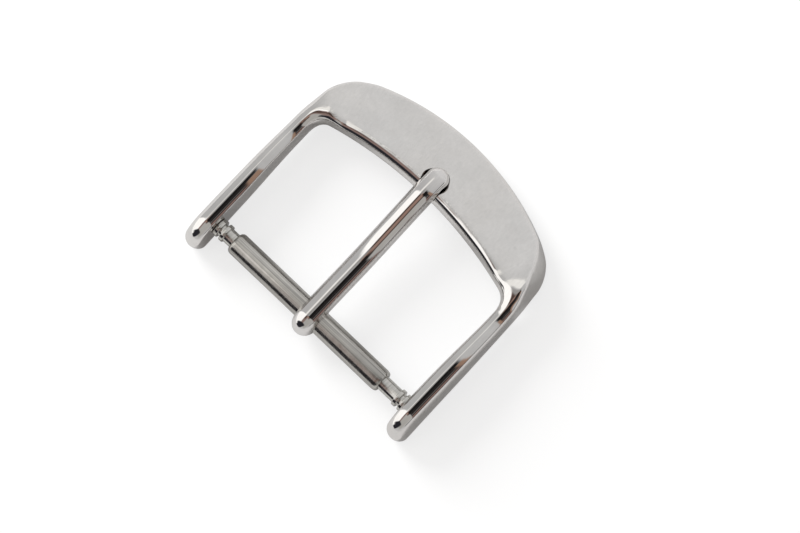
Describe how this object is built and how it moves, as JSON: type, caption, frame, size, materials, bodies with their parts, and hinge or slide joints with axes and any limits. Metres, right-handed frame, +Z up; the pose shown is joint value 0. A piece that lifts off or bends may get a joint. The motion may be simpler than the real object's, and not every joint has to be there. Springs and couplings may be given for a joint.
{
  "type": "watch tang buckle",
  "caption": "Tang buckle for a watch strap: arched plate with two arms, a hinged tang and a sprung bar that holds the strap end.",
  "frame": {"origin": "on the axis of the spring bar, midway between the two arms", "axes": "+X along the spring bar, +Y from the bar towards the plate, +Z up, away from the surface that the two arm feet and the plate's outer edge rest on"},
  "size_m": [0.0184, 0.0163, 0.0031],
  "materials": {
    "polished_frame": "mirror-polished stainless steel, the plate's face finely scratched from wear",
    "polished_tang": "mirror-polished stainless steel",
    "brushed_tube": "drawn stainless tube, fine lines along its length",
    "turned_pin": "turned stainless pin, fine rings round it",
    "spring_wire": "bright spring wire"
  },
  "bodies": {
    "frame": {"frame": "polished_frame"},
    "tang": {"tang": "polished_tang"},
    "bar": {"spring_bar_tube": "brushed_tube", "coil_spring": "spring_wire"},
    "plunger_left": {"plunger_left": "turned_pin"},
    "plunger_right": {"plunger_right": "turned_pin"}
  },
  "joints": [
    {"name": "tang_hinge", "type": "hinge", "parent": "frame", "child": "tang", "pos_m": [0, 0, 0], "axis": [1, 0, 0], "range_deg": [0, 335]},
    {"name": "bar_spin", "type": "hinge", "parent": "frame", "child": "bar", "pos_m": [0, 0, 0], "axis": [1, 0, 0], "continuous": true},
    {"name": "push_left", "type": "slide", "parent": "bar", "child": "plunger_left", "axis": [1, 0, 0], "range_m": [0, 0.00059], "stiffness_N_per_m": 1500, "springref_m": -0.0008, "deforming": ["coil_spring"]},
    {"name": "push_right", "type": "slide", "parent": "bar", "child": "plunger_right", "axis": [-1, 0, 0], "range_m": [0, 0.0012], "stiffness_N_per_m": 1500, "springref_m": -0.0008, "deforming": ["coil_spring"]}
  ]
}
